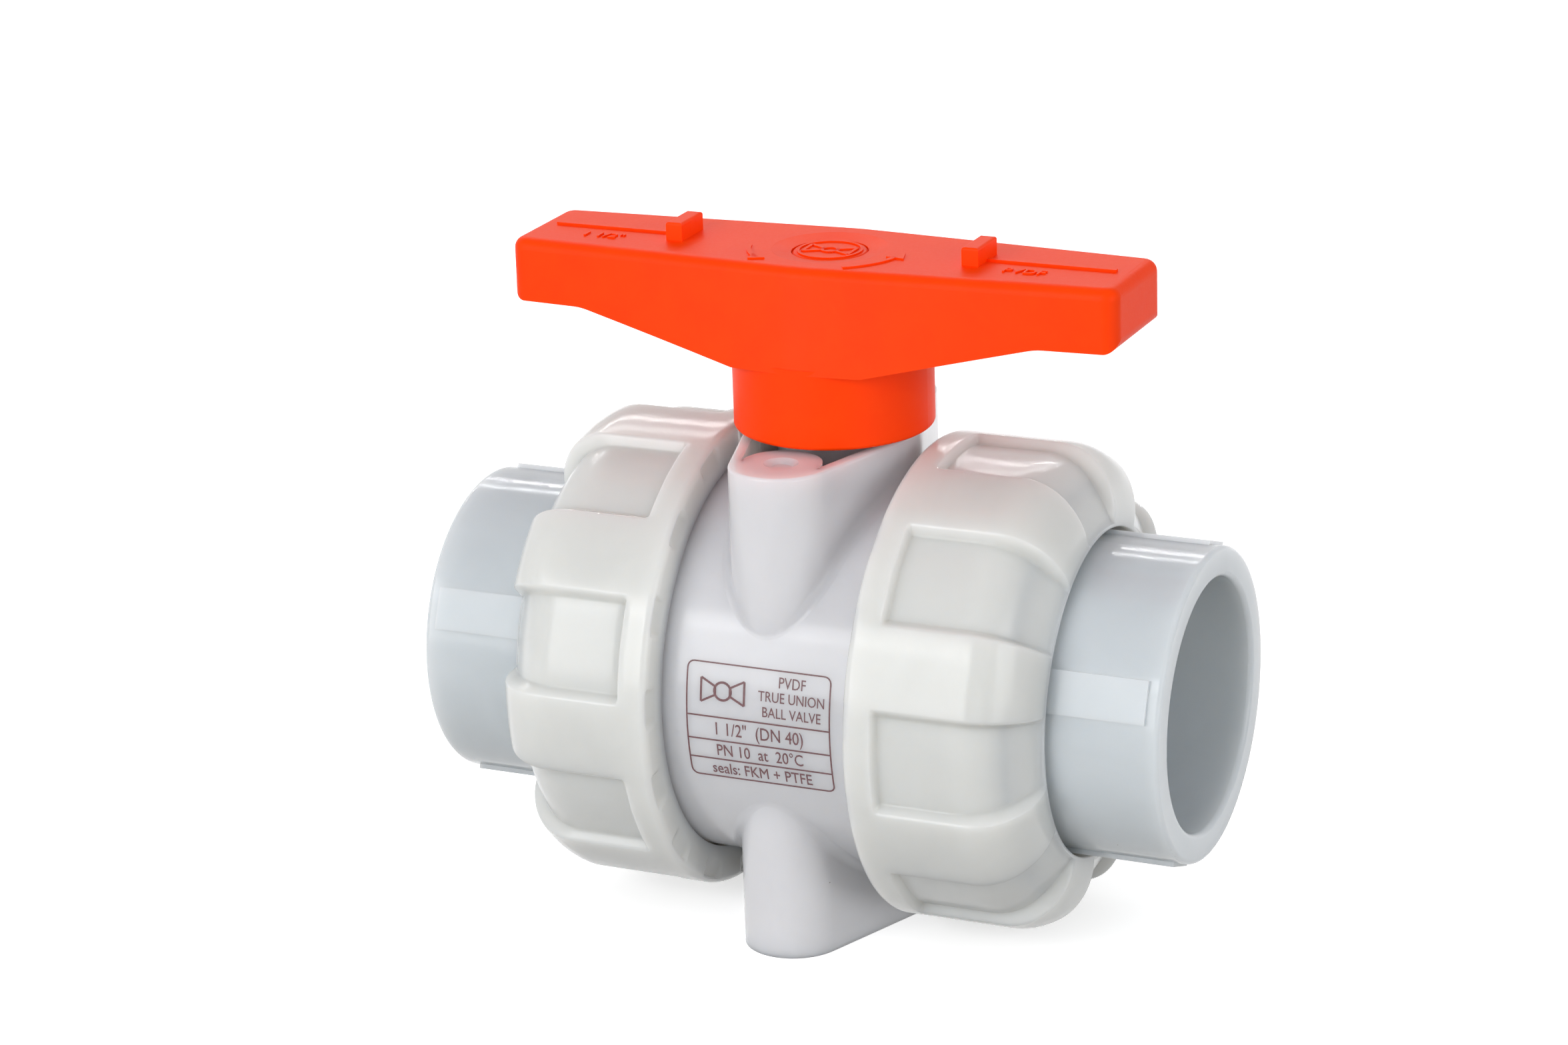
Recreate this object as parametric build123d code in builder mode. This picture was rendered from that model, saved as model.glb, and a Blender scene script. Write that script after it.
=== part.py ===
"""True-union ball valve, DN 40, with socket ends, a T-handle and a mounting foot.

Frame: +X along the flow, +Z up the stem, origin under the middle of the foot.
Everything is in millimetres.  Heights called "..._rise" are measured from the flow axis.
"""
import os
from math import asin, atan2, cos, degrees, hypot, radians, sin, sqrt

from build123d import *

os.makedirs("parts", exist_ok=True)

# ---- driving dimensions: waterway and ball --------------------------------------------
axis_height = 48.2          # flow axis above the underside of the foot
port_r = 19.2               # clear waterway
ball_r = 30.0
cavity_gap = 2.35           # body cavity round the ball
ball_slot_width = 6.0
ball_slot_depth = 5.8

# ---- driving dimensions: seats, carrier and their seals -------------------------------
seat_width = 7.8            # radial
seat_length = 9.5
seat_lip = 2.95             # seat behind the edge of the ball's port
seat_ball_gap = 0.15
seat_fit = 0.15
seat_play = 0.1             # seat to the floor of its pocket
seal_nip = 0.04             # seals are drawn just clear of what they seal against
groove_room = 0.4           # groove wider than the cord
backing_inset = 3.0
backing_cord_r = 1.2
carrier_fit = 0.15
carrier_shoulder = 0.5      # carrier and cavity start this far behind the seat's face
carrier_ring_back = 5.0
carrier_cord_r = 1.3
carrier_slot_height = 4.0
carrier_slot_depth = 4.5
carrier_groove_depth = 0.8
key_fit = 0.3

# ---- driving dimensions: body ---------------------------------------------------------
spigot_wall = 4.05          # cavity to thread root
spigot_length = 19.2
seat_back_wall = 15.7       # seat pocket to the end face
thread_pitch = 4.0
thread_turns = 4
thread_runout = 3.4         # barrel face to the middle of the first ridge
thread_depth = 1.45
thread_base_half = 1.16
thread_tip_half = 0.64
thread_clearance = 0.4
barrel_step = 0.75          # thread crest to barrel
barrel_clearance = 0.4      # nut rim over the barrel
end_chamfer = 0.9
root_fillet = 2.5           # where tower and foot run into the barrel

# ---- driving dimensions: stem tower and foot ------------------------------------------
tower_height = 8.7          # above the barrel
tower_lobe_y = 25.0
tower_lobe_r = 9.9
tower_mid_r = 16.8
tower_wall = 2.3
tower_boss_lap = 0.1        # solid lobe boss over the inside of the wall
tower_pocket_depth = 7.0
tower_edge_r = 0.6
dimple_r = 3.3
dimple_depth = 0.9
dimple_taper = 55
foot_lobe_y = 25.0
foot_lobe_r = 9.7
foot_mid_r = 18.4
foot_hole_r = 2.6
foot_hole_depth = 14.0
foot_pocket_r = 12.0
foot_pocket_depth = 4.5

# ---- driving dimensions: end connectors -----------------------------------------------
neck_length = 27.2          # flange to socket mouth: sets the overall length
pipe_socket_r = 24.15       # bore that takes a 1 1/2 inch pipe
pipe_stop = 3.0             # wall left between the pipe socket and the flange face
socket_wall = 5.75
mouth_round = 1.0
face_gap = 0.2              # body end face to connector flange
flange_inset = 1.35         # flange rim inside the thread crest
flange_thickness = 5.8
flange_chamfer = 0.6
face_ring_out = 5.3         # face seal outside the waterway
face_cord_r = 1.5
neck_pad_count = 4
neck_pad_height = 0.6
neck_pad_width = 8.2
neck_pad_end = 2.6          # plain band left at the mouth

# ---- driving dimensions: union nuts ---------------------------------------------------
nut_thickness = 7.7         # barrel to the crest of the grip lobes
nut_overlap = 2.9           # nut rim over the barrel's edge
nut_rim_round = 1.6
nut_rim_length = 6.0        # plain rim before the grip recesses
nut_shoulder = 6.1          # flange back to the mouth of the nut
nut_play = 0.3              # flange back to the shoulder inside
nut_hole_gap = 1.4          # round the socket
nut_lobe_count = 8
nut_lobe_angle = 21.0
nut_lobe_height = 1.9
nut_lobe_dome = 11.9        # mouth to where the lobes start to round over
nut_lobe_round = 11.0
nut_floor_dome = 13.9
nut_floor_round = 11.0
nut_dome_turn = 50.0        # degrees turned by the first of the dome's two arcs
nut_floor_lip = 1.0         # uncut ring round the hole
nut_floor_sink = 0.5        # how far that ring stands out from the recess floors
nut_notch_count = 16
nut_notch_angle = 9.0
nut_notch_length = 3.8      # radial
nut_notch_rim = 1.1         # ring left outside the notches
nut_notch_depth = 1.0

# ---- driving dimensions: stem ---------------------------------------------------------
stem_r = 7.2
stem_fit = 0.08
stem_collar_r = 9.6
stem_collar_lift = 1.5      # collar above the ball
stem_collar_thickness = 3.5
collar_fit = 0.15
washer_thickness = 1.0
washer_fit = 0.1
washer_lift = 0.05
stem_ring_lifts = (4.0, 8.0)    # seals above the thrust washer's seat
stem_cord_r = 0.8
stem_groove_width = 2.2
stem_shoulder = 4.5         # round part above the tower
stem_square_length = 10.2
stem_flats = 9.6
stem_square_corner = 1.0
tang_clearance = 0.2
tang_lift = 0.4
tang_length = 17.0

# ---- driving dimensions: handle -------------------------------------------------------
handle_lift = 0.7           # skirt above the tower
handle_height = 34.0        # skirt bottom to the top face
handle_half_length = 61.1
handle_end_width = 12.2     # half width at the tips
handle_mid_width = 15.9     # half width over the stem
handle_end_thickness = 12.1
handle_knee_x = 46.0
handle_knee_thickness = 12.0
handle_knee_round = 12.0
handle_root_thickness = 19.6    # wing where it meets the skirt
handle_root_x = 13.0
handle_tip_round = 2.6
handle_corner_r = 3.0
handle_edge_r = 2.2
handle_mid_round = 60.0
handle_wall = 3.0
handle_rib = 2.2
handle_rib_xs = (33.0, 46.0)
skirt_r = 19.1
skirt_wall = 2.7
skirt_edge_r = 0.8
skirt_depth = 18.0
hub_post_r = 9.0
hub_post_gap = 0.6
square_fit = 0.1
stop_housing_r = 11.0
stop_housing_lift = 4.2
stop_lug_r = 15.2
stop_lug_half_angle = 14.0
stop_margin = 1.0           # degrees left at each end of the quarter turn
stop_gap = 0.6
key_x = 30.0                # handle keys that turn the seat carrier
key_thickness = 3.3
key_length = 9.4
key_height = 3.5
key_edge_r = 0.5
spine_height = 0.5
spine_width = 1.0
spine_margin = 4.2          # spine stops short of the tip
dish_r = 11.0               # shallow dish round the cap
dish_depth = 0.6
cap_r = 7.2
cap_thickness = 2.3
cap_fit = 0.1
cap_skirt_wall = 1.2
cap_skirt_depth = 4.0
cap_chamfer = 0.4
well_r = 6.0
well_floor_lift = 4.0       # screw well above the top of the stem
screw_r = 2.1
screw_hole_r = 2.75
screw_bite = 0.04           # tapped hole over the screw
screw_head_r = 4.4
screw_head_height = 3.5
screw_head_round = 0.8
screw_length = 15.0
screw_washer_r = 5.4
screw_washer_thickness = 1.0
screw_key_r = 2.3

# ---- worked-out sizes: round the waterway ---------------------------------------------
cavity_r = ball_r + cavity_gap
carrier_r = cavity_r - carrier_fit
thread_root_r = cavity_r + spigot_wall
thread_crest_r = thread_root_r + thread_depth
body_r = thread_crest_r + barrel_step
nut_crest_r = thread_crest_r + thread_clearance
nut_root_r = nut_crest_r + thread_depth
seat_outer_r = port_r + seat_width
seat_pocket_r = seat_outer_r + seat_fit
backing_ring_r = seat_outer_r - backing_inset
carrier_slot_r = carrier_r - carrier_slot_height
carrier_groove_r = cavity_r - 2 * carrier_cord_r - 2 * seal_nip
face_ring_r = port_r + face_ring_out
flange_r = thread_crest_r - flange_inset
socket_outer_r = pipe_socket_r + socket_wall
nut_rim_r = body_r + nut_thickness
nut_floor_r = nut_rim_r - nut_lobe_height
nut_hole_r = socket_outer_r + nut_hole_gap

# ---- worked-out sizes: along the flow -------------------------------------------------
seat_back = sqrt(ball_r ** 2 - port_r ** 2) + seat_lip
seat_front = seat_back - seat_length
seat_pocket_x = seat_back + seat_play
cavity_end = seat_front + carrier_shoulder
carrier_ring_x = cavity_end + carrier_ring_back
backing_ring_x = seat_pocket_x + backing_cord_r
backing_groove_floor = backing_ring_x + backing_cord_r + seal_nip
body_end = seat_pocket_x + seat_back_wall
body_half_width = body_end - spigot_length
thread_start = body_half_width + thread_runout
thread_xs = [thread_start + turn * thread_pitch for turn in range(thread_turns)]
flange_face = body_end + face_gap
flange_back = flange_face + flange_thickness
face_ring_x = flange_face - seal_nip - face_cord_r
face_groove_floor = face_ring_x - face_cord_r - seal_nip
half_length = flange_back + neck_length
nut_inner_face = body_half_width - nut_overlap
nut_wall_start = nut_inner_face + nut_rim_length
nut_mouth = flange_back + nut_shoulder

# ---- worked-out sizes: rises from the flow axis up the stem ---------------------------
tower_rise = body_r + tower_height
ball_slot_rise = ball_r - ball_slot_depth
tang_bottom = ball_slot_rise + tang_lift
stem_collar_rise = ball_r + stem_collar_lift
washer_rise = stem_collar_rise + stem_collar_thickness
collar_bore_top = washer_rise + washer_thickness + washer_lift
stem_ring_rises = [washer_rise + washer_thickness + lift for lift in stem_ring_lifts]
stem_round_top = tower_rise + stem_shoulder
stem_top = stem_round_top + stem_square_length
stop_housing_top = tower_rise + stop_housing_lift
skirt_bottom = tower_rise + handle_lift
skirt_ceiling = skirt_bottom + skirt_depth
hub_post_bottom = stop_housing_top + hub_post_gap
handle_top = skirt_bottom + handle_height
handle_end_bottom = handle_top - handle_end_thickness
handle_knee_rise = handle_top - handle_knee_thickness
handle_root_rise = handle_top - handle_root_thickness
well_floor = stem_top + well_floor_lift
cap_top = handle_top - dish_depth
stem_bore_r = stem_r + stem_fit
collar_bore_r = stem_collar_r + collar_fit
stem_groove_r = stem_bore_r - 2 * stem_cord_r - 2 * seal_nip
stop_sweep = 90.0 + 2 * stop_margin
stop_rib_angle = 180.0 - 2 * stop_lug_half_angle - stop_sweep

flow_axis = Axis((0, 0, axis_height), (1, 0, 0))
meridian = Plane(origin=(0, 0, axis_height), x_dir=(1, 0, 0), z_dir=(0, -1, 0))
cross = Plane(origin=(0, 0, axis_height), x_dir=(0, -1, 0), z_dir=(-1, 0, 0))


def level(rise):
    """Horizontal plane at a height above the flow axis."""
    return Plane.XY.offset(axis_height + rise)


def meridian_at(angle):
    """Plane through the flow axis, turned from the front (-Y) up towards the top."""
    tilt = radians(angle)
    return Plane(origin=(0, 0, axis_height), x_dir=(1, 0, 0), z_dir=(0, -sin(tilt), -cos(tilt)))


def cross_at(x):
    """Plane square to the flow at x, its own x axis pointing to the front."""
    return Plane(origin=(x, 0, axis_height), x_dir=(0, -1, 0), z_dir=(-1, 0, 0))


def lemon_outline(lobe_y, lobe_r, mid_r):
    """Sketch of the pointed-oval section shared by the stem tower and the foot."""
    with BuildSketch(mode=Mode.PRIVATE) as outline:
        with Locations((0, lobe_y), (0, -lobe_y)):
            Circle(lobe_r)
        Circle(mid_r)
        lean = asin((mid_r - lobe_r) / lobe_y)
        side = [(mid_r * cos(lean), mid_r * sin(lean)),
                (lobe_r * cos(lean), lobe_y + lobe_r * sin(lean))]
        corners = side + [(-x, y) for x, y in reversed(side)]
        corners += [(-x, -y) for x, y in side] + [(x, -y) for x, y in reversed(side)]
        Polygon(*corners, align=None)
    return outline.sketch


def thread_teeth(crest_r, root_r, xs):
    """Ring teeth of a moulded trapezoidal thread, drawn as (x, radius) trapezoids."""
    for x in xs:
        Polygon((x - thread_base_half, root_r), (x + thread_base_half, root_r),
                (x + thread_tip_half, crest_r), (x - thread_tip_half, crest_r), align=None)


def seal_groove(start_x, end_x, ring_r, cord_r, mode=Mode.ADD):
    """Square-section groove for a face seal, drawn as (x, radius)."""
    with Locations(((start_x + end_x) / 2, ring_r)):
        Rectangle(abs(end_x - start_x), 2 * cord_r + groove_room, mode=mode)


def dome_line(start, flat_end, first_r, end):
    """Flat line along the nut, then two tangent arcs round its domed end, as (x, radius)."""
    turn = radians(nut_dome_turn)
    shoulder = (flat_end + first_r * sin(turn), start[1] - first_r * (1 - cos(turn)))
    Line(start, (flat_end, start[1]))
    RadiusArc((flat_end, start[1]), shoulder, first_r)
    TangentArc(shoulder, end, tangent=(cos(turn), -sin(turn)))


def finish(part, label):
    part.label = label
    export_step(part, f"parts/{label}.step")


# ---- valve body: barrel, threaded spigots, stem tower, foot ---------------------------
with BuildPart() as valve_body:
    with BuildSketch(meridian):
        with BuildLine():
            Polyline((-body_end, 0), (-body_end, thread_root_r - end_chamfer),
                     (-body_end + end_chamfer, thread_root_r), (-body_half_width, thread_root_r),
                     (-body_half_width, body_r), (body_half_width, body_r),
                     (body_half_width, thread_root_r), (body_end - end_chamfer, thread_root_r),
                     (body_end, thread_root_r - end_chamfer), (body_end, 0), close=True)
        make_face()
        thread_teeth(thread_crest_r, thread_root_r, thread_xs + [-x for x in thread_xs])
    revolve(axis=flow_axis)
    with BuildSketch(level(0)):
        add(lemon_outline(tower_lobe_y, tower_lobe_r, tower_mid_r))
    extrude(amount=tower_rise)
    fillet(valve_body.edges().group_by(Axis.Z)[-1], tower_edge_r)
    with BuildSketch(Plane.XY):
        add(lemon_outline(foot_lobe_y, foot_lobe_r, foot_mid_r))
    extrude(amount=axis_height)
    seams = valve_body.edges().filter_by(
        lambda e: e.length > 8 and abs(e.center().X) < body_half_width - 1
        and abs(hypot(e.center().Y, e.center().Z - axis_height) - body_r) < 6
        and not e.is_closed and abs((e @ 0.5).Z - axis_height) > 8
        and abs(hypot((e @ 0.3).Y, (e @ 0.3).Z - axis_height) - body_r) < 0.01
        and abs(hypot((e @ 0.7).Y, (e @ 0.7).Z - axis_height) - body_r) < 0.01)
    fillet(seams, root_fillet)
    # pocket in the tower top between the solid lobes, round the stem housing
    with BuildSketch(level(tower_rise)):
        add(lemon_outline(tower_lobe_y, tower_lobe_r - tower_wall, tower_mid_r - tower_wall))
        with Locations((0, tower_lobe_y), (0, -tower_lobe_y)):
            Circle(tower_lobe_r - tower_wall + tower_boss_lap, mode=Mode.SUBTRACT)
        Circle(stop_housing_r, mode=Mode.SUBTRACT)
    extrude(amount=-tower_pocket_depth, mode=Mode.SUBTRACT)
    # stem housing with the two stop lugs for the quarter turn
    with BuildSketch(level(tower_rise - tower_pocket_depth)):
        Circle(stop_housing_r)
        with BuildLine():
            lug = radians(stop_lug_half_angle)
            Polyline((stop_lug_r * cos(lug), stop_lug_r * sin(lug)), (0, 0),
                     (stop_lug_r * cos(lug), -stop_lug_r * sin(lug)))
            RadiusArc((stop_lug_r * cos(lug), -stop_lug_r * sin(lug)),
                      (stop_lug_r * cos(lug), stop_lug_r * sin(lug)), -stop_lug_r)
        make_face()
        mirror(about=Plane.YZ)
    extrude(amount=tower_pocket_depth + stop_housing_top - tower_rise)
    for lobe_side in (-1, 1):
        with BuildSketch(level(tower_rise)):
            with Locations((0, lobe_side * tower_lobe_y)):
                Circle(dimple_r)
        extrude(amount=-dimple_depth, taper=dimple_taper, mode=Mode.SUBTRACT)
    # ball cavity, outlet seat pocket and waterway
    with BuildSketch(meridian):
        with BuildLine():
            Polyline((-body_end, 0), (-body_end, cavity_r), (cavity_end, cavity_r),
                     (cavity_end, seat_pocket_r), (seat_pocket_x, seat_pocket_r),
                     (seat_pocket_x, port_r), (body_end, port_r), (body_end, 0), close=True)
        make_face()
        seal_groove(seat_pocket_x, backing_groove_floor, backing_ring_r, backing_cord_r)
        seal_groove(face_groove_floor, body_end, face_ring_r, face_cord_r)
    revolve(axis=flow_axis, mode=Mode.SUBTRACT)
    # stem bore and collar seat
    with BuildSketch(level(0)):
        Circle(stem_bore_r)
    extrude(amount=stop_housing_top + 1, mode=Mode.SUBTRACT)
    with BuildSketch(level(0)):
        Circle(collar_bore_r)
    extrude(amount=collar_bore_top, mode=Mode.SUBTRACT)
    # underside of the foot
    with BuildSketch(Plane.XY):
        with Locations((0, foot_lobe_y), (0, -foot_lobe_y)):
            Circle(foot_hole_r)
    extrude(amount=foot_hole_depth, mode=Mode.SUBTRACT)
    with BuildSketch(Plane.XY):
        Circle(foot_pocket_r)
    extrude(amount=foot_pocket_depth, mode=Mode.SUBTRACT)
finish(valve_body.part, "valve_body")

# ---- ball -----------------------------------------------------------------------------
with BuildPart() as ball:
    with Locations((0, 0, axis_height)):
        Sphere(ball_r)
    with BuildSketch(cross):
        Circle(port_r)
    extrude(amount=ball_r, both=True, mode=Mode.SUBTRACT)
    with BuildSketch(level(ball_slot_rise)):
        Rectangle(ball_slot_width, 2 * ball_r)
    extrude(amount=ball_r, mode=Mode.SUBTRACT)
finish(ball.part, "ball")

# ---- seats and their backing rings, one pair each side of the ball --------------------
for side_name, side in (("inlet", -1), ("outlet", 1)):
    with BuildPart() as seat:
        with BuildSketch(meridian):
            with BuildLine():
                Polyline((side * seat_front, port_r), (side * seat_back, port_r),
                         (side * seat_back, seat_outer_r), (side * seat_front, seat_outer_r),
                         close=True)
            make_face()
            Circle(ball_r + seat_ball_gap, mode=Mode.SUBTRACT)
        revolve(axis=flow_axis)
    finish(seat.part, f"{side_name}_seat")
    with BuildPart(cross_at(side * backing_ring_x)) as backing_ring:
        Torus(backing_ring_r, backing_cord_r)
    finish(backing_ring.part, f"{side_name}_seat_backing_ring")
    with BuildPart(cross_at(side * face_ring_x)) as face_ring:
        Torus(face_ring_r, face_cord_r)
    finish(face_ring.part, f"{side_name}_face_ring")

# ---- seat carrier: screws into the inlet end and loads the inlet seat ------------------
with BuildPart() as seat_carrier:
    with BuildSketch(meridian):
        with BuildLine():
            Polyline((-body_end, port_r), (-body_end, carrier_r), (-cavity_end, carrier_r),
                     (-cavity_end, seat_pocket_r), (-seat_pocket_x, seat_pocket_r),
                     (-seat_pocket_x, port_r), close=True)
        make_face()
        seal_groove(-seat_pocket_x, -backing_groove_floor, backing_ring_r, backing_cord_r,
                    Mode.SUBTRACT)
        seal_groove(-face_groove_floor, -body_end, face_ring_r, face_cord_r, Mode.SUBTRACT)
        with Locations((-carrier_ring_x, carrier_r)):
            Rectangle(2 * carrier_cord_r + groove_room, 2 * (carrier_r - carrier_groove_r),
                      mode=Mode.SUBTRACT)
        with Locations(*[(-x - thread_pitch / 2, carrier_r) for x in thread_xs[:-1]]):
            Rectangle(thread_pitch / 2, 2 * carrier_groove_depth, mode=Mode.SUBTRACT)
    revolve(axis=flow_axis)
    with BuildSketch(cross_at(-body_end)):
        for slot_side in (-1, 1):
            with Locations((slot_side * (carrier_slot_r + carrier_r) / 2, 0)):
                Rectangle(carrier_slot_height + 2, key_length + 2 * key_fit)
    extrude(amount=-carrier_slot_depth, mode=Mode.SUBTRACT)
finish(seat_carrier.part, "seat_carrier")

with BuildPart(cross_at(-carrier_ring_x)) as carrier_ring:
    Torus(cavity_r - seal_nip - carrier_cord_r, carrier_cord_r)
finish(carrier_ring.part, "seat_carrier_ring")

# ---- end connectors and union nuts ----------------------------------------------------
for side_name, mirrored, pad_phase, lobe_phase in (("outlet", False, 20.0, 21.0),
                                                   ("inlet", True, 22.0, -5.0)):
    with BuildPart() as connector:
        with BuildSketch(meridian):
            with BuildLine():
                Polyline((flange_face, port_r), (flange_face, flange_r), (flange_back, flange_r),
                         (flange_back, socket_outer_r), (half_length, socket_outer_r),
                         (half_length, pipe_socket_r), (flange_face + pipe_stop, pipe_socket_r),
                         (flange_face + pipe_stop, port_r), close=True)
            make_face()
        revolve(axis=flow_axis)
        mouth = connector.edges().filter_by(GeomType.CIRCLE).group_by(Axis.X)[-1]
        fillet(mouth, mouth_round)
        flange_rim = connector.edges().filter_by(GeomType.CIRCLE).sort_by(SortBy.RADIUS)[-2:]
        chamfer(flange_rim, flange_chamfer)
        with BuildSketch(cross_at(flange_back)):
            with PolarLocations(0, neck_pad_count, start_angle=pad_phase):
                with Locations((socket_outer_r - 1 + neck_pad_height / 2, 0)):
                    Rectangle(2 + neck_pad_height, neck_pad_width)
        extrude(amount=-(half_length - neck_pad_end - flange_back))
        if mirrored:
            mirror(about=Plane.YZ, mode=Mode.REPLACE)
    finish(connector.part, f"{side_name}_end_connector")

    with BuildPart() as union_nut:
        with BuildSketch(meridian):
            with BuildLine():
                Polyline((nut_mouth, nut_hole_r), (nut_inner_face, nut_hole_r),
                         (nut_inner_face, nut_rim_r - nut_rim_round))
                RadiusArc((nut_inner_face, nut_rim_r - nut_rim_round),
                          (nut_inner_face + nut_rim_round, nut_rim_r), nut_rim_round)
                dome_line((nut_inner_face + nut_rim_round, nut_rim_r), nut_mouth - nut_lobe_dome,
                          nut_lobe_round, (nut_mouth, nut_hole_r))
            make_face()
        revolve(axis=flow_axis)
        # bore: plain rim, coarse thread, flange pocket
        with BuildSketch(meridian):
            with BuildLine():
                Polyline((nut_inner_face - 1, 0), (nut_inner_face - 1, body_r + barrel_clearance),
                         (body_half_width + 1, body_r + barrel_clearance),
                         (body_half_width + 1, nut_crest_r), (flange_back + nut_play, nut_crest_r),
                         (flange_back + nut_play, 0), close=True)
            make_face()
            thread_teeth(nut_root_r, nut_crest_r - thread_clearance, thread_xs)
        revolve(axis=flow_axis, mode=Mode.SUBTRACT)
        # grip recesses between the lobes, running out over the domed end
        recess_angle = 360 / nut_lobe_count - nut_lobe_angle
        floor_end = (nut_mouth - nut_floor_sink, nut_hole_r + nut_floor_lip)
        for lobe in range(nut_lobe_count):
            start = lobe_phase + nut_lobe_angle / 2 + lobe * 360 / nut_lobe_count
            with BuildSketch(meridian_at(start)):
                with BuildLine():
                    dome_line((nut_wall_start, nut_floor_r), nut_mouth - nut_floor_dome,
                              nut_floor_round, floor_end)
                    Polyline(floor_end, (nut_mouth + 3, floor_end[1]),
                             (nut_mouth + 3, nut_rim_r + 3), (nut_wall_start, nut_rim_r + 3),
                             (nut_wall_start, nut_floor_r))
                make_face()
            revolve(axis=flow_axis, revolution_arc=-recess_angle, mode=Mode.SUBTRACT)
        # shallow wedge notches in the inboard face
        for notch in range(nut_notch_count):
            start = lobe_phase + nut_notch_angle / 2 + notch * 360 / nut_notch_count
            with BuildSketch(meridian_at(start)):
                outer_r = nut_rim_r - nut_notch_rim
                Polygon((nut_inner_face, outer_r - nut_notch_length),
                        (nut_inner_face - 1, outer_r - nut_notch_length),
                        (nut_inner_face - 1, outer_r),
                        (nut_inner_face + nut_notch_depth, outer_r), align=None)
            revolve(axis=flow_axis, revolution_arc=-nut_notch_angle, mode=Mode.SUBTRACT)
        if mirrored:
            mirror(about=Plane.YZ, mode=Mode.REPLACE)
    finish(union_nut.part, f"{side_name}_union_nut")

# ---- stem and its seals ---------------------------------------------------------------
with BuildPart() as stem:
    with BuildSketch(level(stem_collar_rise)):
        Circle(stem_collar_r)
    extrude(amount=stem_collar_thickness)
    with BuildSketch(level(washer_rise)):
        Circle(stem_r)
    extrude(amount=stem_round_top - washer_rise)
    with BuildSketch(level(stem_round_top)):
        RectangleRounded(stem_flats, stem_flats, stem_square_corner)
    extrude(amount=stem_top - stem_round_top)
    with BuildSketch(level(tang_bottom)):
        Rectangle(ball_slot_width - 2 * tang_clearance, tang_length)
    extrude(amount=stem_collar_rise - tang_bottom)
    for rise in stem_ring_rises:
        with BuildSketch(level(rise - stem_groove_width / 2)):
            Circle(2 * stem_r)
            Circle(stem_groove_r, mode=Mode.SUBTRACT)
        extrude(amount=stem_groove_width, mode=Mode.SUBTRACT)
    with BuildSketch(level(stem_top)):
        Circle(screw_r + screw_bite)
    extrude(amount=-screw_length, mode=Mode.SUBTRACT)
finish(stem.part, "stem")

for ring_name, rise in zip(("lower", "upper"), stem_ring_rises):
    with BuildPart() as stem_ring:
        with Locations((0, 0, axis_height + rise)):
            Torus(stem_bore_r - seal_nip - stem_cord_r, stem_cord_r)
    finish(stem_ring.part, f"stem_ring_{ring_name}")

with BuildPart() as thrust_washer:
    with BuildSketch(level(washer_rise)):
        Circle(stem_collar_r - washer_fit)
        Circle(stem_r + washer_fit, mode=Mode.SUBTRACT)
    extrude(amount=washer_thickness)
finish(thrust_washer.part, "stem_thrust_washer")

# ---- handle ---------------------------------------------------------------------------
tip_reach = hypot(handle_half_length, handle_end_width)
tip_angle = atan2(handle_end_width, handle_half_length)
skirt_lean = asin(skirt_r / tip_reach) - tip_angle
skirt_apex = skirt_r / cos(skirt_lean)      # where the wing's side would cross the middle


def wing_outline(apex, apex_r):
    """Six-sided plan of the handle, its two middle corners rounded off."""
    corners = [(handle_half_length, handle_end_width), (0, apex),
               (-handle_half_length, handle_end_width)]
    with BuildSketch(mode=Mode.PRIVATE) as outline:
        Polygon(*corners, *[(-x, -y) for x, y in corners], align=None)
        middle = outline.vertices().filter_by(lambda v: abs(v.X) < 1)
        fillet(middle, apex_r)
        fillet(outline.vertices().filter_by(lambda v: abs(v.X) > handle_half_length - 1),
               handle_corner_r)
    return outline.sketch


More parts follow.
